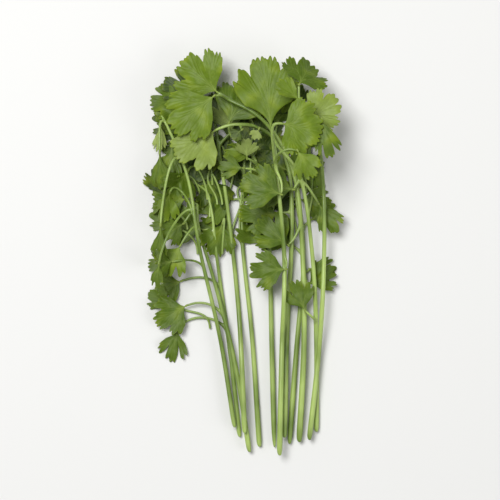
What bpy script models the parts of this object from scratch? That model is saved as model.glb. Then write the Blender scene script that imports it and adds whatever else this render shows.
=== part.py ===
"""A bunch of cut coriander lying on a table: twelve leafy stems laid one on another.

Each stem is one piece with the thin leaf stalks that grow from it, and each leaf blade is a piece of its
own. The stems are laid down in order, from the one that lies on the table to the one on top, and every
blade and stalk comes down until it rests a hair above what already lies there, so nothing overlaps.

Plan sizes are in millimetres: x to the right, y from the cut ends towards the leaf tips.
"""

import copy
import math
from collections import namedtuple

import bpy
import numpy as np

MM = 0.001

# The blade
BLADE_THICKNESS = 0.5
TEETH = 8  # round teeth along the margin
TOOTH_DEPTH = 0.13  # share of the blade's length
LOBE_NOTCH = 0.36  # where the two deep notches sit, as a share of the half spread
NOTCH_WIDTH = 0.085
SIDE_LOBE = 0.30  # how much shorter the outermost lobe is than the middle one
SIDE_FALL = 2.2  # how late the blade starts to shorten towards its sides
BLADE_ROOT = 0.06  # the blade starts this far out, as a share of its length
RINGS = (BLADE_ROOT, 0.5, 1.0)
RIPPLE = 0.35  # height of the waves at the margin
FOLD_ROUNDING = 2.0  # the fold has a round bottom, about this far to each side of the midrib
NORMAL_STEP = 0.01  # for working out which way the surface faces

# The stems and stalks
STEM_RADIUS = 1.25  # at the cut end
STEM_TIP_RADIUS = 0.6
STALK_RADIUS = 0.5
STALK_FLARE = 1.25  # how much thicker a stalk is where it leaves its stem
STEM_SIDES, STALK_SIDES = 6, 5
STEM_STEP, STALK_STEP = 7.0, 3.5  # spacing of the rings
ROOT_GAP = 0.6  # between a stalk's end and its blade
PLAN_STEP = 1.0  # spacing of the points of a route
SPAN_POINTS = 60  # points worked out on each span of a curve
STRAIGHT_TIP = 5.0  # a stem's last stretch points the way its tip blade does
RISE_LENGTH = 25.0  # the stretch over which a stem rises to its tip blade
LEAVING, ARRIVING = 4.0, 6.0  # the same for a stalk, at its stem and at its blade
LEAST_HOLD, HOLD_SHARE = 2.5, 0.42  # how far a stalk keeps its direction at both ends

# The pile
CELL = 0.5  # of the height grid
GAP = 0.4  # kept free between pieces
GRID_X, GRID_Y = 110.0, 200.0
SMOOTH_REACH = 5.0  # a stalk starts to rise this far before what it passes over
UNDER_END = 1  # rings at the end of a stalk, where it meets its blade's root
FREE_START = 4  # points of a stalk that have to be free of blades where it leaves its stem
BARE_MARGIN = 0.1  # a stem counts as bare where what lies on it is no higher than this above its axis
LIFT_MARGIN = 0.01

# at: where the stalk meets the blade. heading: where the blade points, in degrees from +y towards -x.
# spread: half the blade's opening angle. pitch lifts the tip and roll the left side, 180 showing the pale
# underside. curl bends the blade along its length, fold raises both sides, notch is how deep the lobes
# are cut, and neck how far the blade narrows towards its root. grows: where along the stem the stalk
# leaves it, from 0 at the cut end to 1 at the tip.
Leaf = namedtuple("Leaf", "at heading length spread pitch roll curl fold notch neck grows")

# route: places that the stem passes, from its cut end. leaves: the first one is at the stem's tip.
# thick: the stem's thickness, as a share of the usual one.
Sprig = namedtuple("Sprig", "route leaves thick")

SPRIGS = [
    Sprig([(4, -80), (1, -35), (-3, 5)], [
        Leaf((-2, 42), 0, 16, 60, 0, 0, -12, 4, 0.25, 0.1, 1),
        Leaf((-5, 34), 62, 15, 55, 4, -6, -10, 4, 0.3, 0.1, 0.9),
        Leaf((2, 33), -58, 16, 55, 2, 5, -10, 3, 0.3, 0.1, 0.88),
        Leaf((-7, 6), 70, 14, 58, 2, 4, -8, 5, 0.3, 0.1, 0.6),
    ], 1.0),
    Sprig([(-4, -76), (-8, -40), (-13, -5)], [
        Leaf((-17, 22), 20, 16, 60, 3, 5, -10, 4, 0.3, 0.1, 1),
        Leaf((-19, 8), 75, 15, 56, 4, -4, -10, 5, 0.25, 0.1, 0.85),
        Leaf((-28, -13), 115, 10.5, 60, 3, 6, -8, 6, 0.3, 0.1, 0.6),
        Leaf((-29, -33), 165, 12.5, 45, 2, 8, -6, 5, 0.45, 0.2, 0.42),
    ], 0.9),
    Sprig([(16, -79), (19, -40), (22, 0)], [
        Leaf((19, 26), -8, 17, 56, 3, 3, -10, 4, 0.3, 0.1, 1),
        Leaf((25, 12), -60, 11, 58, 4, 6, -8, 5, 0.25, 0.1, 0.82),
        Leaf((17, 2), 55, 15, 56, 3, -5, -10, 4, 0.3, 0.1, 0.7),
        Leaf((25, -8), -96, 10, 55, 4, 4, -8, 5, 0.3, 0.1, 0.6),
    ], 1.1),
    Sprig([(0, -82), (-6, -45), (-15, -10), (-21, 10)], [
        Leaf((-26, 20), 95, 12.5, 62, 6, 5, -12, 5, 0.25, 0.1, 1),
        Leaf((-27, 10), 122, 10, 60, 4, -5, -8, 6, 0.25, 0.1, 0.94),
        Leaf((-28, 1), 150, 13, 52, 6, 6, -10, 6, 0.35, 0.1, 0.86),
        Leaf((-26, -23), 120, 13.5, 62, 6, 5, -10, 5, 0.25, 0.1, 0.5),
    ], 0.95),
    Sprig([(-2, -74), (-4, -30), (-8, 10), (-12, 38)], [
        Leaf((-20, 56), 92, 18, 58, 3, 4, -10, 4, 0.3, 0.1, 1),
        Leaf((-21, 62), 68, 15, 52, 3, 8, -14, 5, 0.35, 0.1, 0.98),
        Leaf((-7, 48), 14, 13, 55, 6, 176, -10, 3, 0.2, 0.1, 0.86),
        Leaf((-31, 41), 172, 13.5, 36, 6, 12, -10, 10, 0.25, 0.2, 0.8),
    ], 1.0),
    Sprig([(10, -81), (9, -40), (8, 0), (6, 25), (0, 40)], [
        Leaf((-8, 51), -24, 19, 58, 14, -6, -80, 4, 0.15, 0.0, 1),
        Leaf((3, 40), 100, 13, 30, 8, -24, -8, 8, 0.25, 0.2, 0.92),
        Leaf((-1, 37), 2, 7.5, 62, 16, 176, -8, 4, 0.2, 0.1, 0.86),
        Leaf((-3, 32.5), 84, 9.5, 50, 4, 6, -8, 6, 0.3, 0.1, 0.8),
    ], 1.05),
    Sprig([(-6, -72), (-12, -35), (-20, 0), (-25, 30)], [
        Leaf((-36, 50), 178, 10.5, 30, 4, 30, -8, 8, 0.2, 0.3, 1),
        Leaf((-36, 38), 180, 14, 30, 4, 38, -8, 8, 0.25, 0.3, 0.94),
        Leaf((-35.5, 9), 178, 13, 32, 3, 40, -6, 8, 0.25, 0.3, 0.8),
        Leaf((-36, -6), 175, 9.5, 34, 4, 38, -6, 8, 0.25, 0.3, 0.64),
    ], 0.85),
    Sprig([(14, -76), (15, -35), (17, 5), (16, 32), (10, 45), (0, 49.5)], [
        Leaf((-14.2, 47), 120, 18, 70, 4, -6, -14, 5, 0.22, 0.05, 1),
        Leaf((-3.5, 47.2), 130, 4.8, 60, 10, 6, -8, 6, 0.2, 0.1, 0.93),
        Leaf((3.5, 47.5), 150, 4.2, 60, 6, 6, -8, 6, 0.2, 0.1, 0.9),
        Leaf((11, 14), 88, 15, 58, 4, 5, -10, 5, 0.3, 0.1, 0.6),
    ], 1.1),
    Sprig([(20, -78), (22, -35), (21, 5), (18, 30), (8.8, 48), (-2, 57)], [
        Leaf((-13.2, 63), 47, 18.5, 64, 3, -10, -12, 5, 0.26, 0.05, 1),
        Leaf((-14.5, 60.5), 128, 20.5, 52, 3, -3, -10, 4, 0.16, 0.0, 0.99),
        Leaf((15, 2), 48, 15, 56, 4, 4, -10, 5, 0.3, 0.1, 0.52),
        Leaf((24, -14), -60, 12, 55, 4, 6, -8, 5, 0.3, 0.1, 0.46),
    ], 1.15),
    Sprig([(27, -74), (27, -35), (25, 0), (20, 30)], [
        Leaf((8.6, 47.5), 6, 28.5, 42, 2, 0, -10, 10, 0.14, 0.85, 1),
        Leaf((17, 24), 80, 15, 56, 5, 4, -10, 5, 0.25, 0.1, 0.82),
        Leaf((28, 18), -148, 13, 40, 4, 6, -8, 6, 0.25, 0.2, 0.8),
        Leaf((22, -24), 20, 12, 52, 5, 4, -8, 5, 0.3, 0.1, 0.36),
    ], 1.0),
    Sprig([(24, -77), (28, -40), (30, 0), (29, 35), (25, 55)], [
        Leaf((19.8, 65.5), -28, 13.5, 80, -36, 3, -14, 4, 0.25, 0.0, 1),
        Leaf((19.4, 59), 48, 11, 38, 8, 14, -10, 12, 0.2, 0.3, 0.96),
        Leaf((24.8, 52.8), -60, 11.8, 84, 5, 3, -10, 4, 0.2, 0.0, 0.9),
        Leaf((28.5, 50.5), -168, 14.5, 32, 3, 5, -12, 8, 0.25, 0.3, 0.88),
    ], 1.0),
    Sprig([(12, -83), (13, -40), (14, -5), (11.5, 24), (9.3, 41)], [
        Leaf((13.6, 49), -102, 15, 86, 3, -5, -12, 4, 0.14, 0.0, 1),
        Leaf((19, 38), -150, 11.5, 50, 5, 3, -12, 5, 0.2, 0.1, 0.84),
        Leaf((12, 22), 70, 16, 58, 4, 4, -12, 5, 0.3, 0.1, 0.8),
        Leaf((14, -8), 92, 14, 56, 4, 4, -10, 5, 0.3, 0.1, 0.56),
    ], 1.05),
]

SMOOTH_BELOW = math.radians(75)
LEAF_GREEN = (0.118, 0.216, 0.040, 1)
STEM_GREEN = (0.243, 0.371, 0.092, 1)


def heading_vector(degrees):
    a = math.radians(degrees)
    return np.array([-math.sin(a), math.cos(a)])


# ---------------------------------------------------------------- leaf blades


def margin(leaf, angles):
    """The flat blade's radius at these angles from its midrib: three lobes with round teeth."""
    share = angles / math.radians(leaf.spread)
    lobes = 1 - SIDE_LOBE * np.abs(share) ** SIDE_FALL
    lobes -= leaf.notch * np.exp(-(((np.abs(share) - LOBE_NOTCH) / NOTCH_WIDTH) ** 2))
    phase = (share + 1) / 2 * TEETH
    teeth = 1 - TOOTH_DEPTH * (1 - np.abs(np.sin(np.pi * phase)))
    return leaf.length * lobes * teeth


def bent(leaf, x, y):
    """Flat blade coordinates, y along the midrib, bent into the blade's real shape."""
    fold = math.tan(math.radians(leaf.fold))
    z = fold * (np.sqrt(x * x + FOLD_ROUNDING**2) - FOLD_ROUNDING)
    out = np.hypot(x, y) / leaf.length
    z = z + RIPPLE * out**2 * np.sin(3 * np.arctan2(x, y) + leaf.heading)
    turn = math.radians(leaf.curl) / leaf.length
    arc = turn * y
    along = np.sin(arc) / turn - z * np.sin(arc)
    height = (1 - np.cos(arc)) / turn + z * np.cos(arc)
    return np.stack([x, along, height], axis=-1)


def turned(leaf, points):
    """Rolled about the midrib, pitched, then headed across the table."""
    roll, pitch, heading = (math.radians(v) for v in (leaf.roll, leaf.pitch, leaf.heading))
    x, y, z = points[..., 0], points[..., 1], points[..., 2]
    x, z = x * math.cos(roll) + z * math.sin(roll), z * math.cos(roll) - x * math.sin(roll)
    y, z = y * math.cos(pitch) - z * math.sin(pitch), z * math.cos(pitch) + y * math.sin(pitch)
    x, y = x * math.cos(heading) - y * math.sin(heading), x * math.sin(heading) + y * math.cos(heading)
    return np.stack([x, y, z], axis=-1)


def blade_solid(leaf):
    """(points, faces) of the blade, its root at the origin: a plate of even thickness with a closed edge."""
    half = math.radians(leaf.spread)
    angles = np.linspace(-half, half, 2 * TEETH + 1)
    radius = margin(leaf, angles)
    rings = np.array(RINGS)[:, None]
    fanned = angles * (1 - leaf.neck * (1 - rings))
    x, y = rings * radius * np.sin(fanned), rings * radius * np.cos(fanned)
    middle = bent(leaf, x, y)
    across = bent(leaf, x + NORMAL_STEP, y) - bent(leaf, x - NORMAL_STEP, y)
    along = bent(leaf, x, y + NORMAL_STEP) - bent(leaf, x, y - NORMAL_STEP)
    normal = np.cross(across, along)
    normal /= np.linalg.norm(normal, axis=-1, keepdims=True)
    upper = turned(leaf, middle + normal * BLADE_THICKNESS / 2)
    lower = turned(leaf, middle - normal * BLADE_THICKNESS / 2)
    points = np.concatenate([upper.reshape(-1, 3), lower.reshape(-1, 3)])
    columns, under = len(angles), upper.shape[0] * len(angles)
    faces = []
    for r in range(len(RINGS) - 1):
        for c in range(columns - 1):
            a, b = r * columns + c, r * columns + c + 1
            d, e = a + columns, b + columns
            faces += [(a, e, d), (a, b, e)]
            faces += [(under + a, under + d, under + e), (under + a, under + e, under + b)]
    last = (len(RINGS) - 1) * columns
    edge = list(range(last, last + columns))
    edge += [r * columns + columns - 1 for r in range(len(RINGS) - 2, -1, -1)]
    edge += list(range(columns - 2, -1, -1))
    edge += [r * columns for r in range(1, len(RINGS) - 1)]
    for a, b in zip(edge, edge[1:] + edge[:1]):
        faces += [(a, under + b, under + a), (a, b, under + b)]
    return points, np.array(faces)


# ---------------------------------------------------------------- stems and stalks


def through(points, step):
    """A smooth plan curve through the points (a Catmull-Rom spline), as places about a step apart."""
    p = np.array(points, float)
    p = np.vstack([2 * p[0] - p[1], p, 2 * p[-1] - p[-2]])
    t = np.linspace(0, 1, SPAN_POINTS, endpoint=False)[:, None]
    fine = []
    for a, b, c, d in zip(p, p[1:], p[2:], p[3:]):
        square = 2 * a - 5 * b + 4 * c - d
        cube = 3 * b - a - 3 * c + d
        fine.append(0.5 * (2 * b + (c - a) * t + square * t**2 + cube * t**3))
    return spaced(np.vstack([*fine, p[-2]]), step)


def spaced(line, step):
    """The line's points put about a step apart."""
    along = np.concatenate([[0], np.cumsum(np.linalg.norm(np.diff(line, axis=0), axis=1))])
    count = max(3, round(along[-1] / step) + 1)
    at = np.linspace(0, along[-1], count)
    return np.stack([np.interp(at, along, line[:, k]) for k in range(line.shape[1])], axis=1)


def stalk_plan(start, direction, leaf):
    """A bend that leaves the stem along its growth and arrives behind the blade."""
    end = np.array(leaf.at, float)
    reach = np.linalg.norm(end - start)
    hold = max(LEAST_HOLD, HOLD_SHARE * reach)
    a, b, c = start, start + direction * hold, end - heading_vector(leaf.heading) * hold
    t = np.linspace(0, 1, SPAN_POINTS)[:, None]
    return (1 - t) ** 3 * a + 3 * (1 - t) ** 2 * t * b + 3 * (1 - t) * t**2 * c + t**3 * end


def tube_solid(line, radii, sides):
    """(points, faces) of a closed round tube along a line of 3-D points."""
    tangent = np.gradient(line, axis=0)
    tangent /= np.linalg.norm(tangent, axis=1, keepdims=True)
    side = np.cross(tangent, [0, 0, 1])
    side /= np.linalg.norm(side, axis=1, keepdims=True)
    up = np.cross(side, tangent)
    turn = np.linspace(0, 2 * math.pi, sides, endpoint=False)
    ring = np.cos(turn)[None, :, None] * side[:, None] + np.sin(turn)[None, :, None] * up[:, None]
    points = line[:, None] + ring * np.asarray(radii)[:, None, None]
    count = len(line)
    faces = []
    for r in range(count - 1):
        for s in range(sides):
            a, b = r * sides + s, r * sides + (s + 1) % sides
            faces += [(a, b, b + sides), (a, b + sides, a + sides)]
    last = (count - 1) * sides
    for s in range(1, sides - 1):
        faces += [(0, s + 1, s), (last, last + s, last + s + 1)]
    return points.reshape(-1, 3), np.array(faces)


# ---------------------------------------------------------------- the pile


class Pile:
    """The height of the top of what lies on the table, on a grid.

    wood_free is the same without the stem that is being laid.
    """

    def __init__(self):
        shape = (int(GRID_X / CELL), int(GRID_Y / CELL))
        self.top = np.full(shape, -GAP)
        self.wood_free = self.top.copy()

    def cells(self, points):
        i = np.floor((points[:, 0] + GRID_X / 2) / CELL).astype(int)
        j = np.floor((points[:, 1] + GRID_Y / 2) / CELL).astype(int)
        return i, j

    def add(self, solid, wood):
        points = scattered(*solid)
        np.maximum.at(self.top, self.cells(points), points[:, 2])
        if not wood:
            np.maximum.at(self.wood_free, self.cells(points), points[:, 2])

    def with_also(self, solid):
        other = copy.deepcopy(self)
        other.add(solid, wood=True)
        return other

    def lift_for(self, solid):
        """How far up the solid has to go to clear the pile."""
        points = scattered(*solid)
        return float((widened(self.top, 1)[self.cells(points)] + GAP - points[:, 2]).max())

    def axis_height(self, plan, radius):
        """The lowest height of a stalk's axis at each plan point, clear of all but its own stem."""
        reach = math.ceil((radius + GAP) / CELL)
        return widened(self.wood_free, reach)[self.cells(plan)] + radius + GAP


def widened(grid, reach):
    """Each cell takes the highest value within this many cells."""
    out = grid.copy()
    for di in range(-reach, reach + 1):
        for dj in range(-reach, reach + 1):
            out = np.maximum(out, np.roll(grid, (di, dj), axis=(0, 1)))
    return out


def scattered(points, faces, parts=14):
    """Points spread closely over every face."""
    u, v = np.meshgrid(np.linspace(0, 1, parts), np.linspace(0, 1, parts))
    keep = u + v <= 1.0001
    u, v = u[keep][None, :, None], v[keep][None, :, None]
    a, b, c = (points[faces[:, k]][:, None] for k in range(3))
    return (a + u * (b - a) + v * (c - a)).reshape(-1, 3)


def over(heights, step):
    """A smooth line nowhere under the heights: each is held for a reach, then averaged over it."""
    n = max(1, round(SMOOTH_REACH / step))
    padded = np.pad(heights, 2 * n, mode="edge")
    high = np.array([padded[i : i + 2 * n + 1].max() for i in range(len(padded) - 2 * n)])
    return np.array([high[i : i + 2 * n + 1].mean() for i in range(len(high) - 2 * n)])


def eased(t):
    """From 0 to 1 with a soft start and end."""
    t = np.clip(t, 0, 1)
    return t * t * (3 - 2 * t)


def stem_line(pile, sprig, tip_height):
    """The stem's axis in 3-D, from the cut end to its tip leaf's root."""
    first = sprig.leaves[0]
    tip = np.array(first.at, float)
    before = tip - heading_vector(first.heading) * STRAIGHT_TIP
    plan = through([*sprig.route, tuple(before), tuple(tip)], PLAN_STEP)
    radii = np.linspace(STEM_RADIUS, STEM_TIP_RADIUS, len(plan)) * sprig.thick
    heights = over(pile.axis_height(plan, radii.max()), PLAN_STEP)
    from_tip = np.arange(len(plan))[::-1] * PLAN_STEP
    rise = max(0.0, heights[-1] - tip_height)
    heights = heights + (tip_height + rise - heights[-1]) * (1 - eased(from_tip / RISE_LENGTH))
    return np.column_stack([plan, heights]), radii, rise


def stalk_start(pile, line, leaf):
    """The stalk's start on the stem's axis and its plan: the bare place nearest to where it should grow."""
    wanted = round(leaf.grows * (len(line) - 1))
    for away in range(len(line)):
        for at in (wanted - away, wanted + away):
            if not 2 <= at < len(line) - 2:
                continue
            ahead = (line[at + 2] - line[at - 2])[:2]
            plan = stalk_plan(line[at][:2], ahead / np.linalg.norm(ahead), leaf)
            plan = spaced(plan, PLAN_STEP)
            needed = pile.axis_height(plan[: FREE_START + 1], STALK_RADIUS).max()
            if needed < line[at][2] + BARE_MARGIN:
                return line[at], plan
    raise ValueError(f"no bare place on the stem for the blade at {leaf.at}")


def stalk_line(pile, start, plan, root_height):
    """A leaf stalk's axis in 3-D, and how much higher its blade has to go for it."""
    needed = pile.axis_height(plan, STALK_RADIUS)
    out = np.arange(len(plan)) * PLAN_STEP
    straight = start[2] + (root_height - start[2]) * eased(out / out[-1])
    heights = over(np.maximum(needed, straight), PLAN_STEP)
    rise = max(0.0, heights[-1] - root_height)
    heights -= (heights[0] - start[2]) * (1 - eased(out / LEAVING))
    heights += (root_height + rise - heights[-1]) * eased((out - out[-1] + ARRIVING) / ARRIVING)
    return np.column_stack([plan, heights]), rise


def stalk_and_lift(pile, line, leaf, blade, lift):
    """The stalk and its blade's height: the stalk may pass under its own blade, but not through it."""
    start, plan = stalk_start(pile, line, leaf)
    while True:
        line, rise = stalk_line(pile, start, plan, lift)
        rings = spaced(shortened(line, ROOT_GAP), STALK_STEP)
        taper = np.linspace(STALK_RADIUS * STALK_FLARE, STALK_RADIUS, len(rings))
        passing = max(2, len(rings) - UNDER_END)
        under = tube_solid(rings[:passing], taper[:passing], STALK_SIDES)
        needed = pile.with_also(under).lift_for(blade)
        if needed <= lift + rise + LIFT_MARGIN:
            return tube_solid(rings, taper, STALK_SIDES), lift + rise
        lift = needed


def shortened(line, cut):
    """The line without its last stretch."""
    along = np.concatenate([[0], np.cumsum(np.linalg.norm(np.diff(line, axis=0), axis=1))])
    end = along[-1] - min(cut, along[-1] / 2)
    keep = along < end
    last = np.array([np.interp(end, along, line[:, k]) for k in range(3)])
    return np.vstack([line[keep], last])


# ---------------------------------------------------------------- Blender objects


def material(name, colour, roughness):
    made = bpy.data.materials.new(name)
    made.use_nodes = True
    shader = made.node_tree.nodes["Principled BSDF"]
    shader.inputs["Base Color"].default_value = colour
    shader.inputs["Roughness"].default_value = roughness
    shader.inputs["Metallic"].default_value = 0.0
    return made


def add_object(name, solid, finish, parent):
    """One object, smooth where its faces meet at less than SMOOTH_BELOW."""
    points, faces = solid
    mesh = bpy.data.meshes.new(name)
    mesh.from_pydata((points * MM).tolist(), [], faces.tolist())
    mesh.update()
    mesh.materials.append(finish)
    mesh.shade_smooth()
    mesh.set_sharp_from_angle(angle=SMOOTH_BELOW)
    made = bpy.data.objects.new(name, mesh)
    bpy.context.scene.collection.objects.link(made)
    made.parent = parent
    return made


def join_with(body, branch):
    """The branch becomes part of the body through a Boolean, and isn't a piece itself."""
    branch.hide_render = True
    branch.display_type = "WIRE"
    joined = body.modifiers.new(branch.name, "BOOLEAN")
    joined.operation = "UNION"
    joined.solver = "EXACT"
    joined.object = branch


def raised(solid, offset):
    return solid[0] + np.asarray(offset), solid[1]


def lay_sprig(pile, number, sprig, finishes, parent):
    """Lays one stem with its leaves on the pile, in the order of its leaves."""
    pile.wood_free = pile.top.copy()
    line, grown = None, []
    for index, leaf in enumerate(sprig.leaves):
        blade = raised(blade_solid(leaf), (*leaf.at, 0))
        root = np.array([*leaf.at, 0.0])[None]
        lift = pile.lift_for(blade)
        lift = max(lift, float(pile.axis_height(root, STALK_RADIUS)[0]))
        if index == 0:
            line, radii, rise = stem_line(pile, sprig, lift)
            lift += rise
            short = shortened(line, ROOT_GAP)
            stem_points = spaced(short, STEM_STEP)
            taper = np.linspace(radii[0], radii[-1], len(stem_points))
            grown.append(tube_solid(stem_points, taper, STEM_SIDES))
            pile.add(grown[-1], wood=True)
            line = spaced(stem_points, PLAN_STEP)
        else:
            stalk, lift = stalk_and_lift(pile, line, leaf, blade, lift)
            grown.append(stalk)
            pile.add(stalk, wood=True)
        blade = raised(blade, (0, 0, lift))
        pile.add(blade, wood=False)
        add_object(f"leaf_{number:02d}_{'abcd'[index]}", blade, finishes["leaf"], parent)
    body = add_object(f"stem_{number:02d}", grown[0], finishes["stem"], parent)
    for index, branch in enumerate(grown[1:]):
        join_with(body, add_object(f"stalk_{number:02d}_{'bcd'[index]}", branch, finishes["stem"], parent))


def stand_on_origin(parent):
    """Moves the bunch so that its box stands on the origin, centred."""
    bpy.context.view_layer.update()
    shown = [o for o in bpy.data.objects if o.type == "MESH" and not o.hide_render]
    corners = np.array([v.co for o in shown for v in o.data.vertices])
    low, high = corners.min(0), corners.max(0)
    parent.location = (-(low[0] + high[0]) / 2, -(low[1] + high[1]) / 2, -low[2])


def main():
    for old in list(bpy.data.objects):
        bpy.data.objects.remove(old, do_unlink=True)
    bunch = bpy.data.objects.new("bunch", None)
    bpy.context.scene.collection.objects.link(bunch)
    finishes = {
        "leaf": material("leaf", LEAF_GREEN, 0.55),
        "stem": material("stem", STEM_GREEN, 0.45),
    }
    pile = Pile()
    for number, sprig in enumerate(SPRIGS, start=1):
        lay_sprig(pile, number, sprig, finishes, bunch)
    print(f"the pile is {pile.top.max():.1f} mm high")
    stand_on_origin(bunch)


main()
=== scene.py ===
# %% [markdown]
# # A bunch of cut coriander
#
# A dozen cut stems lie one on another, with their leafy ends together. The solids of the model give each
# stem and each leaf blade its place. Here they get what makes them look alive: teeth along the blades,
# veins, a surface that swells between the veins, and thin tissue that lets some light through.

# %% Load the frame
import math
from collections import namedtuple

import bmesh
import bpy
import numpy as np
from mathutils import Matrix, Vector, noise
from mathutils.bvhtree import BVHTree


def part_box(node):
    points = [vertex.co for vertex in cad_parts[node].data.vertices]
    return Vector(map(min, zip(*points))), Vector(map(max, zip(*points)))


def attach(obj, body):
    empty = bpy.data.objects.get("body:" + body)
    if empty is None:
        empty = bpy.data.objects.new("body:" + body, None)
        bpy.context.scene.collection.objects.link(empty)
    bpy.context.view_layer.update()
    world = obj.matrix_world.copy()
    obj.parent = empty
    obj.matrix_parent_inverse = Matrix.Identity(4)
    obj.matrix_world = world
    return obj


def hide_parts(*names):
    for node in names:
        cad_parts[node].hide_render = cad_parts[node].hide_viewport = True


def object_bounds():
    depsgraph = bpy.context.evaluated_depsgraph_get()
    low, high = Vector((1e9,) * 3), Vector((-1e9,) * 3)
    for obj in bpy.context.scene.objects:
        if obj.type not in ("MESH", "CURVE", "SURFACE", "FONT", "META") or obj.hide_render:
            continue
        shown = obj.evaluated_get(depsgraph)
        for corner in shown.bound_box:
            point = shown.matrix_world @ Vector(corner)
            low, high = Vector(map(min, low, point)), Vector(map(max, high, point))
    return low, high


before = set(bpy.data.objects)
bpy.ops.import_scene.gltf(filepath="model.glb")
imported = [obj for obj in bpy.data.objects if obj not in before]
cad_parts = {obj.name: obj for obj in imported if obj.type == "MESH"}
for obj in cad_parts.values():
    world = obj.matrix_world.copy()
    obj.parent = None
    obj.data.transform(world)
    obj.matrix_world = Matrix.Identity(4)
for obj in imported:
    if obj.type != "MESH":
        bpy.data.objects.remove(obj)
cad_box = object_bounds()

MM = 0.001
low, high = (np.array(corner) / MM for corner in cad_box)
print("the bunch is", " x ".join(f"{side:.0f}" for side in high - low), "mm")

# %% [markdown]
# ## What is known about each blade
#
# A coriander blade is a fan: it opens from the end of its stalk, and two deep notches part it into three
# lobes. The same few numbers made the plain solids, so they're repeated here. A blade points along its
# heading, in degrees from +Y towards -X, and half of its fan opens by its spread. Pitch lifts its tip, roll
# its left side, and a roll of nearly 180 shows the pale underside. Curl and fold bend it, notch cuts the
# lobes apart, and neck narrows the way to its root. Tone names its green.

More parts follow.
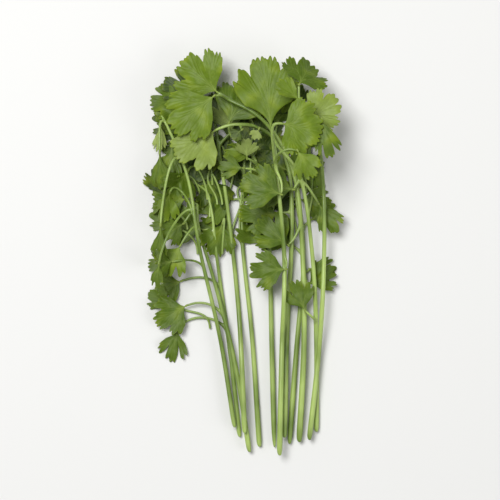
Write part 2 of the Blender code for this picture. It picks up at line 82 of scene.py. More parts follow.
# %% The blades
Blade = namedtuple("Blade", "heading length spread pitch roll curl fold notch neck tone")
# blades with the deep tone lie low in the pile; that tone is partly painted shade for the shadow of the
# blades above
BLADES = {
    "leaf_01_a": Blade(0, 16, 60, 0, 0, -12, 4, 0.25, 0.1, "deep"),
    "leaf_01_b": Blade(62, 15, 55, 4, -6, -10, 4, 0.3, 0.1, "deep"),
    "leaf_01_c": Blade(-58, 16, 55, 2, 5, -10, 3, 0.3, 0.1, "deep"),
    "leaf_01_d": Blade(70, 14, 58, 2, 4, -8, 5, 0.3, 0.1, "mid"),
    "leaf_02_a": Blade(20, 16, 60, 3, 5, -10, 4, 0.3, 0.1, "deep"),
    "leaf_02_b": Blade(75, 15, 56, 4, -4, -10, 5, 0.25, 0.1, "mid"),
    "leaf_02_c": Blade(115, 10.5, 60, 3, 6, -8, 6, 0.3, 0.1, "mid"),
    "leaf_02_d": Blade(165, 12.5, 45, 2, 8, -6, 5, 0.45, 0.2, "mid"),
    "leaf_03_a": Blade(-8, 17, 56, 3, 3, -10, 4, 0.3, 0.1, "mid"),
    "leaf_03_b": Blade(-60, 11, 58, 4, 6, -8, 5, 0.25, 0.1, "mid"),
    "leaf_03_c": Blade(55, 15, 56, 3, -5, -10, 4, 0.3, 0.1, "mid"),
    "leaf_03_d": Blade(-96, 10, 55, 4, 4, -8, 5, 0.3, 0.1, "mid"),
    "leaf_04_a": Blade(95, 12.5, 62, 6, 5, -12, 5, 0.25, 0.1, "mid"),
    "leaf_04_b": Blade(122, 10, 60, 4, -5, -8, 6, 0.25, 0.1, "mid"),
    "leaf_04_c": Blade(150, 13, 52, 6, 6, -10, 6, 0.35, 0.1, "fresh"),
    "leaf_04_d": Blade(120, 13.5, 62, 6, 5, -10, 5, 0.25, 0.1, "mid"),
    "leaf_05_a": Blade(92, 18, 58, 3, 4, -10, 4, 0.3, 0.1, "mid"),
    "leaf_05_b": Blade(68, 15, 52, 3, 8, -14, 5, 0.35, 0.1, "deep"),
    "leaf_05_c": Blade(14, 13, 55, 6, 176, -10, 3, 0.2, 0.1, "mid"),
    "leaf_05_d": Blade(172, 13.5, 36, 6, 12, -10, 10, 0.25, 0.2, "mid"),
    "leaf_06_a": Blade(-24, 19, 58, 14, -6, -80, 4, 0.15, 0.0, "mid"),
    "leaf_06_b": Blade(100, 13, 30, 8, -24, -8, 8, 0.25, 0.2, "fresh"),
    "leaf_06_c": Blade(2, 7.5, 62, 16, 176, -8, 4, 0.2, 0.1, "light"),
    "leaf_06_d": Blade(84, 9.5, 50, 4, 6, -8, 6, 0.3, 0.1, "mid"),
    "leaf_07_a": Blade(178, 10.5, 30, 4, 30, -8, 8, 0.2, 0.3, "pale"),
    "leaf_07_b": Blade(180, 14, 30, 4, 38, -8, 8, 0.25, 0.3, "mid"),
    "leaf_07_c": Blade(178, 13, 32, 3, 40, -6, 8, 0.25, 0.3, "mid"),
    "leaf_07_d": Blade(175, 9.5, 34, 4, 38, -6, 8, 0.25, 0.3, "mid"),
    "leaf_08_a": Blade(120, 18, 70, 4, -6, -14, 5, 0.22, 0.05, "light"),
    "leaf_08_b": Blade(130, 4.8, 60, 10, 6, -8, 6, 0.2, 0.1, "deep"),
    "leaf_08_c": Blade(150, 4.2, 60, 6, 6, -8, 6, 0.2, 0.1, "pale"),
    "leaf_08_d": Blade(88, 15, 58, 4, 5, -10, 5, 0.3, 0.1, "mid"),
    "leaf_09_a": Blade(47, 18.5, 64, 3, -10, -12, 5, 0.26, 0.05, "fresh"),
    "leaf_09_b": Blade(128, 20.5, 52, 3, -3, -10, 4, 0.16, 0.0, "fresh"),
    "leaf_09_c": Blade(48, 15, 56, 4, 4, -10, 5, 0.3, 0.1, "mid"),
    "leaf_09_d": Blade(-60, 12, 55, 4, 6, -8, 5, 0.3, 0.1, "mid"),
    "leaf_10_a": Blade(6, 28.5, 42, 2, 0, -10, 10, 0.14, 0.85, "fresh"),
    "leaf_10_b": Blade(80, 15, 56, 5, 4, -10, 5, 0.25, 0.1, "mid"),
    "leaf_10_c": Blade(-148, 13, 40, 4, 6, -8, 6, 0.25, 0.2, "mid"),
    "leaf_10_d": Blade(20, 12, 52, 5, 4, -8, 5, 0.3, 0.1, "mid"),
    "leaf_11_a": Blade(-28, 13.5, 80, -36, 3, -14, 4, 0.25, 0.0, "mid"),
    "leaf_11_b": Blade(48, 11, 38, 8, 14, -10, 12, 0.2, 0.3, "fresh"),
    "leaf_11_c": Blade(-60, 11.8, 84, 5, 3, -10, 4, 0.2, 0.0, "light"),
    "leaf_11_d": Blade(-168, 14.5, 32, 3, 5, -12, 8, 0.25, 0.3, "mid"),
    "leaf_12_a": Blade(-102, 15, 86, 3, -5, -12, 4, 0.14, 0.0, "fresh"),
    "leaf_12_b": Blade(-150, 11.5, 50, 5, 3, -12, 5, 0.2, 0.1, "fresh"),
    "leaf_12_c": Blade(70, 16, 58, 4, 4, -12, 5, 0.3, 0.1, "mid"),
    "leaf_12_d": Blade(92, 14, 56, 4, 4, -10, 5, 0.3, 0.1, "mid"),
}
print(len(BLADES), "blades")

# %% [markdown]
# ## The greens
#
# Young blades are yellower and lighter. The deep tone, for blades at the bottom of the pile, is darker than
# their own green: the extra darkness is painted shade, standing for the shadow that the blades above cast
# on them. Each tone is the colour of the upper side, as a person would read it from a colour picker, and is
# turned into the linear values that Blender works with. The underside of any blade is paler and greyer,
# because air in the tissue scatters light there.

# %% Tones


def linear(*rgb):
    """Linear values of a colour given from 0 to 255."""
    share = np.array(rgb) / 255
    return np.where(share > 0.04045, ((share + 0.055) / 1.055) ** 2.4, share / 12.92)


TONES = {
    # deep is partly painted shade: darker than the leaf's own green, for blades lying in shadow low in the
    # pile
    "deep": linear(56, 79, 12),
    "mid": linear(86, 112, 18),
    "fresh": linear(108, 134, 26),
    "light": linear(144, 164, 76),
    "pale": linear(160, 178, 96),
}
VEIN = linear(156, 176, 84)
UNDERSIDE = linear(138, 154, 86)
YOUNG = linear(150, 166, 24)

# %% [markdown]
# ## The outline
#
# The outline is a radius for every direction from the root. Three broad lobes come first, then a small
# dent in the middle of each half lobe, then round teeth just under 2 mm wide, in groups of three. A sine's
# absolute value has the right shape for them: round on the outside, with a sharp corner between two.

# %% Outline
SIDE_LOBE, SIDE_FALL = 0.30, 2.2  # how much shorter the blade is at its sides, and how late it shortens
LOBE_NOTCH, NOTCH_WIDTH = 0.36, 0.085
SIDE_DENT, SIDE_DENT_WIDTH, SIDE_DENT_DEPTH = 0.68, 0.05, 0.08
TIP_DENT, TIP_DENT_WIDTH, TIP_DENT_DEPTH = 0.06, 0.03, 0.05
TOOTH_WIDTH = 1.75
TOOTH_DEPTH = 1.15
TEETH_IN_GROUP = 3
LEAST_TEETH = 9
FULL_TEETH_LENGTH = 11  # a blade shorter than this has shallower teeth
CORNER_START, CORNER_CUT = 0.8, 0.34  # the outer corners of the fan are rounded off
OUTLINE_GAIN = 1.04  # the teeth reach this much past the plain outline


def dent(share, place, width):
    """1 at the place across the fan, and fading to 0 on both sides of it."""
    return np.exp(-(((share - place) / width) ** 2))


def lobed(blade, share):
    """The blade's length in each direction, without its teeth. share runs from -1 to 1 across the fan."""
    side = np.abs(share)
    lobes = 1 - SIDE_LOBE * side**SIDE_FALL
    lobes -= blade.notch * dent(side, LOBE_NOTCH, NOTCH_WIDTH)
    lobes -= SIDE_DENT_DEPTH * dent(side, SIDE_DENT, SIDE_DENT_WIDTH)
    lobes -= TIP_DENT_DEPTH * dent(share, TIP_DENT, TIP_DENT_WIDTH)
    return blade.length * lobes


def tooth_count(blade):
    arc = 2 * math.radians(blade.spread) * blade.length * 0.85
    return max(LEAST_TEETH, round(arc / TOOTH_WIDTH))


def margin(blade, share):
    """The outline's radius with its teeth, in millimetres."""
    teeth = tooth_count(blade)
    count = ((share + 1) / 2) * teeth + 0.5 * np.sin(5.1 * share + blade.heading)
    wave = np.abs(np.sin(np.pi * count)) ** 0.75
    group_end = (0.5 + 0.5 * np.cos(2 * np.pi * count / TEETH_IN_GROUP)) ** 4
    depth = TOOTH_DEPTH * (1 + 0.9 * group_end) * min(1, blade.length / FULL_TEETH_LENGTH)
    outer = np.clip((np.abs(share) - CORNER_START) / (1 - CORNER_START), 0, 1)
    corner = 1 - CORNER_CUT * outer**2
    return lobed(blade, share) * OUTLINE_GAIN * corner - depth * (1 - wave)


# %% [markdown]
# ## Bending a flat blade
#
# The flat fan is folded along its midrib, rippled towards its edge and rolled along its length. Then it is
# turned as a whole. These two steps are the ones that gave the plain solid its shape, so that the fine
# blade lies in the same place.

# %% Bend and turn
FOLD_ROUNDING = 2.0  # the fold has a round bottom, about this far to each side of the midrib
RIPPLE = 0.35  # height of the waves at the margin
NORMAL_STEP = 0.01


def bent(blade, x, y):
    """Points of the flat blade, y along its midrib, bent into the blade's shape."""
    z = math.tan(math.radians(blade.fold)) * (np.sqrt(x * x + FOLD_ROUNDING**2) - FOLD_ROUNDING)
    out = np.hypot(x, y) / blade.length
    z = z + RIPPLE * out**2 * np.sin(3 * np.arctan2(x, y) + blade.heading)
    turn = math.radians(blade.curl) / blade.length
    arc = turn * y
    along = np.sin(arc) / turn - z * np.sin(arc)
    height = (1 - np.cos(arc)) / turn + z * np.cos(arc)
    return np.stack([x, along, height], axis=-1)


def turned(blade, points):
    """Rolled about the midrib, pitched, then headed across the table."""
    roll, pitch, heading = (math.radians(v) for v in (blade.roll, blade.pitch, blade.heading))
    x, y, z = points[..., 0], points[..., 1], points[..., 2]
    x, z = x * math.cos(roll) + z * math.sin(roll), z * math.cos(roll) - x * math.sin(roll)
    y, z = y * math.cos(pitch) - z * math.sin(pitch), z * math.cos(pitch) + y * math.sin(pitch)
    x, y = x * math.cos(heading) - y * math.sin(heading), x * math.sin(heading) + y * math.cos(heading)
    return np.stack([x, y, z], axis=-1)


def normals_of(blade, x, y):
    across = bent(blade, x + NORMAL_STEP, y) - bent(blade, x - NORMAL_STEP, y)
    along = bent(blade, x, y + NORMAL_STEP) - bent(blade, x, y - NORMAL_STEP)
    normal = np.cross(across, along)
    return normal / np.linalg.norm(normal, axis=-1, keepdims=True)


# %% [markdown]
# ## Where the solid lies
#
# The plain solid has the same bend with a coarse outline. Working that outline out again gives its box
# around the root, and the difference from the solid's real box is where the root lies.

# %% Find the root
PLAIN_TEETH, PLAIN_DEPTH, PLAIN_THICKNESS = 8, 0.13, 0.5
PLAIN_RINGS = np.array([0.06, 0.5, 1.0])[:, None]


def fan(blade, share, rings, hollow=0.0):
    """The direction of each point of the fan, which closes towards its root by the neck."""
    inner = 1 - rings
    return math.radians(blade.spread) * share * (1 - blade.neck * inner - hollow * inner**2)


def root_of(name, blade):
    """Where the blade's root lies, in mm, and how far the box worked out for it is from the real one."""
    share = np.linspace(-1, 1, 2 * PLAIN_TEETH + 1)
    side = np.abs(share)
    radius = 1 - SIDE_LOBE * side**SIDE_FALL - blade.notch * dent(side, LOBE_NOTCH, NOTCH_WIDTH)
    teeth = np.abs(np.sin(np.pi * (share + 1) / 2 * PLAIN_TEETH))
    radius *= blade.length * (1 - PLAIN_DEPTH * (1 - teeth))
    angles = fan(blade, share, PLAIN_RINGS)
    x, y = PLAIN_RINGS * radius * np.sin(angles), PLAIN_RINGS * radius * np.cos(angles)
    lift = normals_of(blade, x, y) * PLAIN_THICKNESS / 2
    sides = np.stack([bent(blade, x, y) + lift, bent(blade, x, y) - lift])
    corners = turned(blade, sides).reshape(-1, 3)
    box_low, box_high = (np.array(corner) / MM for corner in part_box(name))
    misfit = np.abs((box_high - box_low) - (corners.max(0) - corners.min(0))).max()
    return (box_low + box_high) / 2 - (corners.max(0) + corners.min(0)) / 2, misfit


roots = {name: root_of(name, blade) for name, blade in BLADES.items()}
worst = max(roots, key=lambda name: roots[name][1])
print(f"largest misfit of a blade's box: {roots[worst][1]:.3f} mm, at {worst}")

# %% [markdown]
# ## Veins
#
# One main vein runs to the tip of each lobe, and side veins leave it on both sides and end in the teeth.
# Seen from the root, a side vein starts in its main vein's direction and swings over to its tooth. All
# that the surface needs is how far each point lies from the nearest vein.

# %% Distance to the veins
MAIN_VEINS = (-0.66, 0.0, 0.66)
LOBE_HALF = 0.33
SIDE_VEINS = 3
VEIN_WIDTH = 0.24
FAR_AWAY = 9.0


def vein_paths(rings):
    """Pairs of (share, strength) for every vein along the rings. Strength is 0 where a vein isn't there."""
    for main in MAIN_VEINS:
        yield main * np.clip(rings * 1.6, 0.35, 1), np.clip(1.15 - rings, 0.25, 1)
        for side in (-1, 1):
            for number in range(SIDE_VEINS):
                start = 0.12 + 0.22 * number
                end = main + side * LOBE_HALF * (1 - 0.27 * number)
                swing = np.clip((rings - start) / (1 - start), 0, 1)
                base = main * np.clip(rings * 1.6, 0.35, 1)
                yield base + (end - base) * swing**0.75, np.where(rings > start, 0.5 * (1 - 0.5 * swing), 0)


def vein_field(blade, share, rings, radius):
    """How strongly each point of the blade is vein, from 0 to 1, and how far it is from one, in mm."""
    strength = np.zeros_like(radius)
    distance = np.full_like(radius, FAR_AWAY)
    for path, there in vein_paths(rings):
        away = np.abs(share - path) * math.radians(blade.spread) * radius
        away = away * (1 - blade.neck * (1 - rings)) + np.where(there > 0, 0, FAR_AWAY)
        strength = np.maximum(strength, there * np.exp(-((away / VEIN_WIDTH) ** 2)))
        distance = np.minimum(distance, away)
    return strength, distance


# %% [markdown]
# ## One blade
#
# The blade is a closed sheet about a quarter of a millimetre thick. Its rings run from a short round foot,
# which meets the stalk, out to the margin. The upper side sinks a little along the veins and swells
# between them, and the veins stand out on the underside. Colour is worked out at the same points, because
# it follows the veins too, and is kept on the mesh for the material to read.

# %% Blade surface
FOOT = (-1.3, -0.8, -0.3)
FOOT_RADIUS = 0.42
RING_COUNT = 26
COLUMNS_PER_TOOTH = 7
SHEET = 0.13
SWELL, SWELL_REACH = 0.13, 0.9  # the tissue stands up between the veins, this far from them
VEIN_SINK, VEIN_STAND = 0.12, 0.12  # on the upper side, and on the underside
BROAD, BROAD_SIZE = 1.6, 9.0  # bends of the whole blade: their height and their size
MIDDLING, MIDDLING_SIZE = 0.7, 5.0
FINE, FINE_SIZE = 0.16, 1.6
MARGIN_WAVE = 0.3
FULL_RELIEF_LENGTH = 12  # a blade shorter than this is flatter
TABLE_EASE = 0.6  # a blade nearer to the table than this is bent up from it
HOLLOW_SIDES = 0.35  # the two plain sides of a blade run in a hollow curve to its root


def smooth_noise(points, size, seed):
    """Smooth noise from -1 to 1 at each point."""
    flat = points.reshape(-1, 3) / size
    values = [noise.noise(Vector((p[0] + seed, p[1] - seed, p[2]))) for p in flat]
    return np.array(values).reshape(points.shape[:-1])


def blade_points(blade, seed):
    """Upper and lower points of the blade around its root, in mm, and their colours."""
    share = np.linspace(-1, 1, COLUMNS_PER_TOOTH * tooth_count(blade) + 1)[None]
    rings = np.linspace(0, 1, RING_COUNT)[:, None] ** 0.9 * 0.97 + 0.03
    radius = rings * margin(blade, share)
    rings = rings + 0 * share
    angles = fan(blade, share, rings, HOLLOW_SIDES * (1 - blade.neck))
    x, y = radius * np.sin(angles), radius * np.cos(angles)
    veins, away = vein_field(blade, share, rings, radius)
    swell = 1 - np.exp(-((away / SWELL_REACH) ** 2))
    flat = np.stack([x, y, 0 * x], axis=-1)
    mottle = smooth_noise(flat, MIDDLING_SIZE, seed)
    fine = smooth_noise(flat, FINE_SIZE, seed + 7)
    broad = smooth_noise(flat, BROAD_SIZE, seed + 3)
    relief = SWELL * swell - VEIN_SINK * veins + FINE * fine * rings
    relief = relief + BROAD * broad * rings + MIDDLING * mottle * rings
    relief += MARGIN_WAVE * rings**3 * np.sin(share * (4 + 0.25 * tooth_count(blade)) + seed)
    relief *= np.clip(rings * 4, 0, 1) * min(1, blade.length / FULL_RELIEF_LENGTH)
    thickness = SHEET * (1 - 0.5 * rings**4)
    foot = FOOT_RADIUS * np.exp(-((x / 0.5) ** 2)) * np.clip(1 - rings * 2.2, 0, 1)
    middle, normal = bent(blade, x, y), normals_of(blade, x, y)
    upper = middle + normal * (relief + thickness + foot * 0.4)[..., None]
    lower = middle + normal * (relief - thickness - foot - VEIN_STAND * veins)[..., None]
    stalk = np.array(FOOT)[:, None] + 0 * share
    across = FOOT_RADIUS * np.sin(share * math.pi / 2) + 0 * stalk
    height = FOOT_RADIUS * np.cos(share * math.pi / 2) + 0 * stalk
    upper = np.concatenate([np.stack([across, stalk, height + 0.01], -1), upper])
    lower = np.concatenate([np.stack([across, stalk, -height - 0.01], -1), lower])
    colours = blade_colours(blade, share, rings, veins, mottle, fine)
    stems = np.broadcast_to(VEIN * 0.9, (len(FOOT), share.shape[1], 3))
    colours = [np.concatenate([stems, side]) for side in colours]
    return turned(blade, upper), turned(blade, lower), colours


def mixed(a, b, share):
    """From a, where share is 0, to b, where it is 1."""
    share = np.clip(share, 0, 1)[..., None]
    return a * (1 - share) + b * share


def blade_colours(blade, share, rings, veins, mottle, fine):
    """Colours of the upper and the lower side."""
    upper = np.broadcast_to(TONES[blade.tone], (*rings.shape, 3))
    upper = upper * (1 + 0.16 * mottle + 0.10 * fine)[..., None]
    upper = mixed(upper, YOUNG, 0.5 * np.clip(mottle * 1.6 - 0.25, 0, 1) + 0.18 * (rings > 0.93))
    upper = mixed(upper, VEIN, 0.42 * veins + 0.5 * np.clip(0.22 - rings, 0, 1))
    lower = mixed(upper, UNDERSIDE * (1 + 0.1 * fine)[..., None], 0.75 + 0 * rings)
    lower = mixed(lower, VEIN * 1.1, 0.5 * veins)
    return upper, lower


# %% Blade mesh


def sheet_faces(rows, columns):
    """Faces of a closed sheet: the upper grid, the lower grid after it, and the rim between them."""
    under = rows * columns
    faces = []
    for r in range(rows - 1):
        for c in range(columns - 1):
            a = r * columns + c
            faces.append((a, a + 1, a + columns + 1, a + columns))
            faces.append((under + a, under + a + columns, under + a + columns + 1, under + a + 1))
    rim = [*range(columns - 1), *(r * columns + columns - 1 for r in range(rows - 1))]
    rim += [(rows - 1) * columns + c for c in range(columns - 1, 0, -1)]
    rim += [r * columns for r in range(rows - 1, 0, -1)]
    for a, b in zip(rim, rim[1:] + rim[:1]):
        faces.append((b, a, under + a, under + b))
    return faces


def above_table(heights):
    """Heights that would pass through the table flatten out just above it instead."""
    return np.where(heights < TABLE_EASE, TABLE_EASE * np.exp(heights / TABLE_EASE - 1), heights)


def sheet_object(name, points, grid, colours):
    """The closed sheet as an object, with its upper and lower colours kept on the mesh."""
    mesh = bpy.data.meshes.new(name)
    mesh.from_pydata((points * MM).tolist(), [], sheet_faces(*grid))
    colours = np.concatenate([side.reshape(-1, 3) for side in colours])
    stored = mesh.attributes.new("green", "FLOAT_COLOR", "POINT")
    opaque = np.column_stack([colours, np.ones(len(colours))])
    stored.data.foreach_set("color", opaque.astype(np.float32).ravel())
    mesh.shade_smooth()
    piece = bpy.data.objects.new(name, mesh)
    bpy.context.scene.collection.objects.link(piece)
    return piece


def make_blade(name, blade, seed):
    upper, lower, colours = blade_points(blade, seed)
    points = np.concatenate([upper.reshape(-1, 3), lower.reshape(-1, 3)]) + roots[name][0]
    points[:, 2] = above_table(points[:, 2])
    return sheet_object(name + ".blade", points, upper.shape[:2], colours)


# %% [markdown]
# ## The blade's material
#
# Leaf tissue has a thin waxy skin over a wet green body. The skin gives a soft sheen, so the surface is
# fairly rough with a normal index of refraction. A share of the light goes through to the other side and
# comes out yellower, which is the work of the Translucent shader.

# %% Leaf material
CELLS_PER_METRE = 1500
LIGHT_THROUGH = 0.3  # share of the light that passes to the other side


def new_material(name):
    made = bpy.data.materials.new(name)
    made.use_nodes = True
    nodes = made.node_tree.nodes
    return made, nodes, made.node_tree.links, nodes["Principled BSDF"], nodes["Material Output"]


def leaf_material():
    made, nodes, links, skin, output = new_material("leaf_tissue")
    green = nodes.new("ShaderNodeAttribute")
    green.attribute_name = "green"
    place = nodes.new("ShaderNodeTexCoord")
    cells = nodes.new("ShaderNodeTexNoise")
    cells.inputs["Scale"].default_value = CELLS_PER_METRE
    cells.inputs["Detail"].default_value = 3
    links.new(place.outputs["Object"], cells.inputs["Vector"])
    shade = nodes.new("ShaderNodeMapRange")
    shade.inputs["To Min"].default_value = 0.86
    shade.inputs["To Max"].default_value = 1.14
    links.new(cells.outputs["Fac"], shade.inputs["Value"])
    colour = nodes.new("ShaderNodeVectorMath")
    colour.operation = "SCALE"
    links.new(green.outputs["Color"], colour.inputs[0])
    links.new(shade.outputs["Result"], colour.inputs["Scale"])
    bump = nodes.new("ShaderNodeBump")
    bump.inputs["Strength"].default_value = 0.25
    bump.inputs["Distance"].default_value = 0.1 * MM
    links.new(cells.outputs["Fac"], bump.inputs["Height"])
    links.new(bump.outputs["Normal"], skin.inputs["Normal"])
    links.new(colour.outputs["Vector"], skin.inputs["Base Color"])
    skin.inputs["Roughness"].default_value = 0.5
    skin.inputs["Specular IOR Level"].default_value = 0.35
    through = nodes.new("ShaderNodeBsdfTranslucent")
    warmer = nodes.new("ShaderNodeVectorMath")
    warmer.operation = "MULTIPLY"
    warmer.inputs[1].default_value = (1.25, 1.2, 0.55)
    links.new(colour.outputs["Vector"], warmer.inputs[0])
    links.new(warmer.outputs["Vector"], through.inputs["Color"])
    both = nodes.new("ShaderNodeMixShader")
    both.inputs["Fac"].default_value = LIGHT_THROUGH
    links.new(skin.outputs["BSDF"], both.inputs[1])
    links.new(through.outputs["BSDF"], both.inputs[2])
    links.new(both.outputs["Shader"], output.inputs["Surface"])
    return made


tissue = leaf_material()

# %% Grow the blades
for seed, (name, blade) in enumerate(BLADES.items()):
    piece = make_blade(name, blade, seed * 3.7)
    piece.data.materials.append(tissue)
    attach(piece, "root")
    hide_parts(name)
print("points on the last blade:", len(piece.data.vertices))

# %% [markdown]
# ## Blades deeper in the pile
#
# A real bunch holds many more blades than the model has solids for. Most of them lie under the others and
# only show in the gaps, as darker green: most are given the deep tone, whose extra darkness is painted
# shade for the shadow of the blades above. Such a blade is limp, so it drapes: it takes its height from a
# smoothed map of whatever lies below it. The map is read from the lower stems and blades, by casting a ray
# down on each point of a grid.

# %% A height map of the lower layers
CELL = 1.0
ABOVE_ALL = 0.1  # rays start this high, in metres
MAP_LOW = low[:2] - 5
MAP_SHAPE = tuple(np.ceil((high[:2] - low[:2] + 10) / CELL).astype(int))


def height_map(layers, blur):
    """Smoothed height, in mm, of the top of the stems and blades with these numbers."""
    tops = np.zeros(MAP_SHAPE)
    for name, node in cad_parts.items():
        if int(name.split("_")[1]) not in layers:
            continue
        corners = [vertex.co for vertex in node.data.vertices]
        tree = BVHTree.FromPolygons(corners, [face.vertices for face in node.data.polygons])
        box_low, box_high = (np.array(corner)[:2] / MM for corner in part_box(name))
        first = np.floor((box_low - MAP_LOW) / CELL).astype(int)
        last = np.ceil((box_high - MAP_LOW) / CELL).astype(int)
        for i in range(first[0], last[0] + 1):
            for j in range(first[1], last[1] + 1):
                spot = MAP_LOW + (np.array([i, j]) + 0.5) * CELL
                above = Vector((spot[0] * MM, spot[1] * MM, ABOVE_ALL))
                hit = tree.ray_cast(above, Vector((0, 0, -1)))[0]
                if hit:
                    tops[i, j] = max(tops[i, j], hit.z / MM)
    widened = tops.copy()
    for step in ((1, 0), (-1, 0), (0, 1), (0, -1)):
        widened = np.maximum(widened, np.roll(tops, step, axis=(0, 1)))
    for _ in range(blur):
        widened = (
            4 * widened
            + np.roll(widened, 1, 0)
            + np.roll(widened, -1, 0)
            + np.roll(widened, 1, 1)
            + np.roll(widened, -1, 1)
        ) / 8
    return widened


def height_at(heights, points):
    """The map's height under each point, between its cells."""
    at = (points[..., :2] - MAP_LOW) / CELL - 0.5
    at = np.clip(at, 0, np.array(MAP_SHAPE) - 1.001)
    i, j = np.floor(at).astype(int)[..., 0], np.floor(at).astype(int)[..., 1]
    u, v = at[..., 0] - i, at[..., 1] - j
    near = heights[i, j] * (1 - u) + heights[i + 1, j] * u
    far = heights[i, j + 1] * (1 - u) + heights[i + 1, j + 1] * u
    return near * (1 - v) + far * v


on_table = height_map(range(1, 4), 14)
half_way = height_map(range(1, 8), 10)
print(f"the maps reach {on_table.max():.1f} and {half_way.max():.1f} mm")

# %% [markdown]
# Each of these blades is given by its root, its heading, length and spread, its tone, and the place in the
# pile where its own thin stalk begins. Only some of these places are on a stem: the other stalks start
# loose among the stems.

# %% Draped blades
Deep = namedtuple("Deep", "root heading length spread tone stalk_from")
# most blades in this under-layer take the deep tone, partly painted shade for the shadow of the blades
# above
UNDER = [
    Deep((-24, 50), 60, 15, 60, "deep", (-12, 40)),
    Deep((-28, 55), 20, 11, 58, "deep", (-22, 45)),
    Deep((-14, 54), -30, 12, 60, "deep", (-9, 40)),
    Deep((0, 56), 40, 14, 56, "deep", (1, 40)),
    Deep((4, 42), -35, 15, 60, "deep", (2, 28)),
    Deep((12, 52), -12, 15, 56, "mid", (12, 38)),
    Deep((20, 56), 25, 14, 60, "deep", (20, 40)),
    Deep((24, 42), -15, 14, 58, "mid", (24, 25)),
    Deep((16, 34), 70, 14, 58, "deep", (20, 20)),
    Deep((-10, 36), 75, 15, 60, "deep", (-8, 20)),
    Deep((-22, 40), 110, 14, 60, "mid", (-14, 28)),
    Deep((-20, 28), 60, 16, 58, "deep", (-15, 15)),
    Deep((-28, 30), 130, 12, 60, "mid", (-18, 18)),
    Deep((0, 28), -80, 15, 60, "deep", (0, 12)),
    Deep((-6, 22), 100, 15, 58, "mid", (-6, 8)),
    Deep((8, 18), -40, 14, 58, "deep", (8, 5)),
    Deep((22, 22), -100, 12, 55, "mid", (20, 8)),
    Deep((-30, 12), 60, 10, 58, "mid", (-20, 0)),
    Deep((-32, -20), 60, 9, 58, "mid", (-15, -30)),
    Deep((-2, 25), -8, 15, 60, "deep", (-3, 10)),
    Deep((10, 26), 12, 15, 60, "deep", (10, 12)),
    Deep((-15, 34), -20, 14, 60, "deep", (-12, 20)),
    Deep((-34, 24), 10, 12, 58, "deep", (-24, 10)),
    Deep((26, 28), 8, 12, 50, "deep", (25, 14)),
]
OVER = [
    Deep((-26, 62), 95, 13, 60, "mid", (-14, 50)),
    Deep((-24, 33), 150, 13, 58, "mid", (-16, 22)),
    Deep((-14, 30), -170, 13, 58, "deep", (-10, 20)),
    Deep((5, 32), 175, 12, 58, "mid", (8, 22)),
    Deep((27, 36), 172, 12, 45, "mid", (26, 24)),
    Deep((-31, 24), 165, 11, 50, "fresh", (-22, 16)),
    Deep((-30, -3), 100, 10, 60, "mid", (-17, -8)),
    Deep((-10, 12), 165, 13, 58, "mid", (-10, 0)),
    Deep((6, 4), 30, 13, 58, "mid", (8, -10)),
]
DRAPE_GAP = 0.5
DRAPE_FLATTEN = 0.7
STALK_RADIUS = 0.45
STALK_LIFT = 0.3
STALK_POINTS = 30


def as_blade(deep):
    """The same blade, limp: nearly flat, because the pile below gives it its bend."""
    return Blade(deep.heading, deep.length, deep.spread, 0, 0, -6, 3, 0.22, 0.1, deep.tone)


def make_draped(name, deep, heights, seed):
    """The blade laid over the map of heights."""
    blade = as_blade(deep)
    upper, lower, (above, below) = blade_points(blade, seed)
    points = np.concatenate([upper.reshape(-1, 3), lower.reshape(-1, 3)]) + (*deep.root, 0)
    points[:, 2] = points[:, 2] * DRAPE_FLATTEN + height_at(heights, points) + DRAPE_GAP
    points[:, 2] = above_table(points[:, 2])
    return sheet_object(name, points, upper.shape[:2], (above, below))


def make_stalk(name, deep, heights):
    """A thin tube from its place in the pile to the blade's foot, draped the same way."""
    heading = math.radians(deep.heading)
    ahead = np.array([-math.sin(heading), math.cos(heading)])
    end = np.array(deep.root) - ahead * 1.0
    start = np.array(deep.stalk_from, float)
    hold = np.linalg.norm(end - start) * 0.45
    t = np.linspace(0, 1, STALK_POINTS)[:, None]
    b, c = start + np.array([0, hold]), end - ahead * hold
    plan = (1 - t) ** 3 * start + 3 * (1 - t) ** 2 * t * b + 3 * (1 - t) * t**2 * c + t**3 * end
    line = bpy.data.curves.new(name, "CURVE")
    line.dimensions = "3D"
    line.bevel_depth = STALK_RADIUS * MM
    line.bevel_resolution = 3
    line.use_fill_caps = True
    spline = line.splines.new("POLY")
    spline.points.add(len(plan) - 1)
    tall = height_at(heights, plan) + DRAPE_GAP + STALK_LIFT
    for point, (x, y), z in zip(spline.points, plan, tall):
        point.co = (x * MM, y * MM, z * MM, 1)
    made = bpy.data.objects.new(name, line)
    bpy.context.scene.collection.objects.link(made)
    return made


# %% [markdown]
# ## Stems
#
# A coriander stem is juicy, round and finely ribbed. The model's stem has the right route with flat sides,
# so it is taken as a cage: its triangles are joined into quads, a Subdivision Surface rounds them, and a
# voxel remesh welds the stalks to the stem with soft forks. The rounding draws the surface in a little,
# so it's pushed out again at the end.

# %% Stem meshes
ROUNDING_LOSS = 0.1
FORK_VOXEL = 0.28


def applied(piece, **settings):
    """Adds one modifier with these settings and applies it."""
    kind = settings.pop("kind")
    modifier = piece.modifiers.new(kind.lower(), kind)
    for key, value in settings.items():
        setattr(modifier, key, value)
    bpy.context.view_layer.update()
    evaluated = piece.evaluated_get(bpy.context.evaluated_depsgraph_get())
    fresh = bpy.data.meshes.new_from_object(evaluated)
    piece.modifiers.clear()
    piece.data = fresh


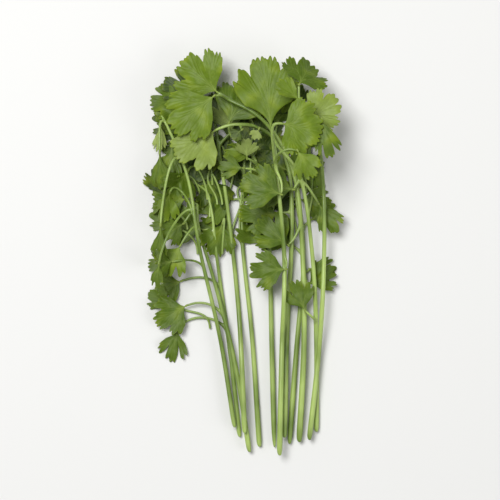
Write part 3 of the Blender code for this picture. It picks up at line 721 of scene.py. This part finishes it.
def make_stem(name):
    """The solid's route with a round, even skin."""
    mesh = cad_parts[name].data.copy()
    cage = bmesh.new()
    cage.from_mesh(mesh)
    bmesh.ops.remove_doubles(cage, verts=cage.verts, dist=0.01 * MM)
    bmesh.ops.join_triangles(
        cage,
        faces=cage.faces,
        angle_face_threshold=math.radians(35),
        angle_shape_threshold=math.radians(60),
    )
    cage.to_mesh(mesh)
    cage.free()
    piece = bpy.data.objects.new(name + ".skin", mesh)
    bpy.context.scene.collection.objects.link(piece)
    applied(piece, kind="SUBSURF", levels=2, render_levels=2)
    applied(piece, kind="REMESH", mode="VOXEL", voxel_size=FORK_VOXEL * MM)
    applied(piece, kind="LAPLACIANSMOOTH", iterations=3, lambda_factor=0.5)
    applied(piece, kind="DISPLACE", strength=ROUNDING_LOSS * MM, mid_level=0)
    piece.data.shade_smooth()
    return piece


# %% [markdown]
# The stem's green is lighter and wetter than the blades'. Fibres run along it, so the noise for its colour
# is stretched along Y, and a second, broad noise lets it go from a darker green to a lighter yellow green.
# Coriander stems also turn slightly purple where the sun reaches them, which this green leaves out.

# %% Stem material


def stem_material():
    made, nodes, links, skin, output = new_material("stem_skin")
    place = nodes.new("ShaderNodeTexCoord")
    fibres = nodes.new("ShaderNodeMapping")
    fibres.inputs["Scale"].default_value = (1, 0.05, 1)
    links.new(place.outputs["Object"], fibres.inputs["Vector"])
    streaks = nodes.new("ShaderNodeTexNoise")
    streaks.inputs["Scale"].default_value = 2200
    streaks.inputs["Detail"].default_value = 2
    links.new(fibres.outputs["Vector"], streaks.inputs["Vector"])
    broad = nodes.new("ShaderNodeTexNoise")
    broad.inputs["Scale"].default_value = 45
    links.new(place.outputs["Object"], broad.inputs["Vector"])
    greens = nodes.new("ShaderNodeValToRGB")
    greens.color_ramp.elements[0].position = 0.35
    greens.color_ramp.elements[0].color = (*linear(96, 120, 42), 1)
    greens.color_ramp.elements[1].position = 0.65
    greens.color_ramp.elements[1].color = (*linear(160, 182, 98), 1)
    links.new(broad.outputs["Fac"], greens.inputs["Fac"])
    shade = nodes.new("ShaderNodeMapRange")
    shade.inputs["To Min"].default_value = 0.8
    shade.inputs["To Max"].default_value = 1.2
    links.new(streaks.outputs["Fac"], shade.inputs["Value"])
    colour = nodes.new("ShaderNodeVectorMath")
    colour.operation = "SCALE"
    links.new(greens.outputs["Color"], colour.inputs[0])
    links.new(shade.outputs["Result"], colour.inputs["Scale"])
    links.new(colour.outputs["Vector"], skin.inputs["Base Color"])
    bump = nodes.new("ShaderNodeBump")
    bump.inputs["Strength"].default_value = 0.4
    bump.inputs["Distance"].default_value = 0.1 * MM
    links.new(streaks.outputs["Fac"], bump.inputs["Height"])
    links.new(bump.outputs["Normal"], skin.inputs["Normal"])
    skin.inputs["Roughness"].default_value = 0.38
    skin.inputs["Subsurface Weight"].default_value = 0.15
    skin.inputs["Subsurface Radius"].default_value = (0.6, 1.0, 0.3)
    skin.inputs["Subsurface Scale"].default_value = 1.0 * MM
    return made


stem_skin = stem_material()
for name in sorted(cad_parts):
    if name.startswith("stem"):
        piece = make_stem(name)
        piece.data.materials.clear()
        piece.data.materials.append(stem_skin)
        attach(piece, "root")
        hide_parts(name)
        print(name, len(piece.data.vertices), "points")

# %% Lay the draped blades and their stalks
for layer, heights, lot in (("under", on_table, UNDER), ("over", half_way, OVER)):
    for number, deep in enumerate(lot, start=1):
        blade_piece = make_draped(f"{layer}_{number:02d}.blade", deep, heights, 200 + number * 2.3)
        blade_piece.data.materials.append(tissue)
        stalk_piece = make_stalk(f"{layer}_{number:02d}.stalk", deep, heights)
        stalk_piece.data.materials.append(stem_skin)
        for piece, slot in ((blade_piece, "leaf"), (stalk_piece, "stem")):
            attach(piece, "root")

# %% [markdown]
# ## Table, camera and light
#
# The bunch lies on a plain pale table. The camera looks straight down from well above, through a long
# lens, so that the high leaves aren't drawn larger than the low ones. Two big soft lights stand for a
# studio: a broad one overhead and a weaker one from the side, and the pale surroundings fill the shadows.

# %% Table
bpy.ops.mesh.primitive_plane_add(size=3, location=(0, 0, cad_box[0][2] - 0.0002))
table = bpy.context.object
table.name = "table"
table_finish, _, _, top, _ = new_material("pale_table")
top.inputs["Base Color"].default_value = (*linear(218, 218, 216), 1)
top.inputs["Roughness"].default_value = 0.7
table.data.materials.append(table_finish)

# %% Camera
DISTANCE = 0.85
FRAMED = 0.2
AIM = (0.0012, 0.0017)
eye = bpy.data.cameras.new("eye")
eye.sensor_width = 36
eye.lens = 36 * DISTANCE / FRAMED
camera = bpy.data.objects.new("eye", eye)
camera.location = (AIM[0], AIM[1], DISTANCE + 0.01)
bpy.context.scene.collection.objects.link(camera)
bpy.context.scene.camera = camera

# %% Light


def soft_light(name, place, size, power):
    """A square lamp that faces the bunch."""
    lamp = bpy.data.lights.new(name, "AREA")
    lamp.size = size
    lamp.energy = power
    made = bpy.data.objects.new(name, lamp)
    made.location = place
    made.rotation_euler = (-Vector(place)).to_track_quat("-Z", "Y").to_euler()
    bpy.context.scene.collection.objects.link(made)


soft_light("overhead", (-0.35, 0.35, 1.1), 0.55, 15)
soft_light("side", (0.9, -0.3, 0.7), 0.6, 3)
world = bpy.data.worlds.new("surroundings")
world.use_nodes = True
world.node_tree.nodes["Background"].inputs["Color"].default_value = (1, 1, 1, 1)
world.node_tree.nodes["Background"].inputs["Strength"].default_value = 0.3
bpy.context.scene.world = world
bpy.context.scene.view_settings.view_transform = "Standard"
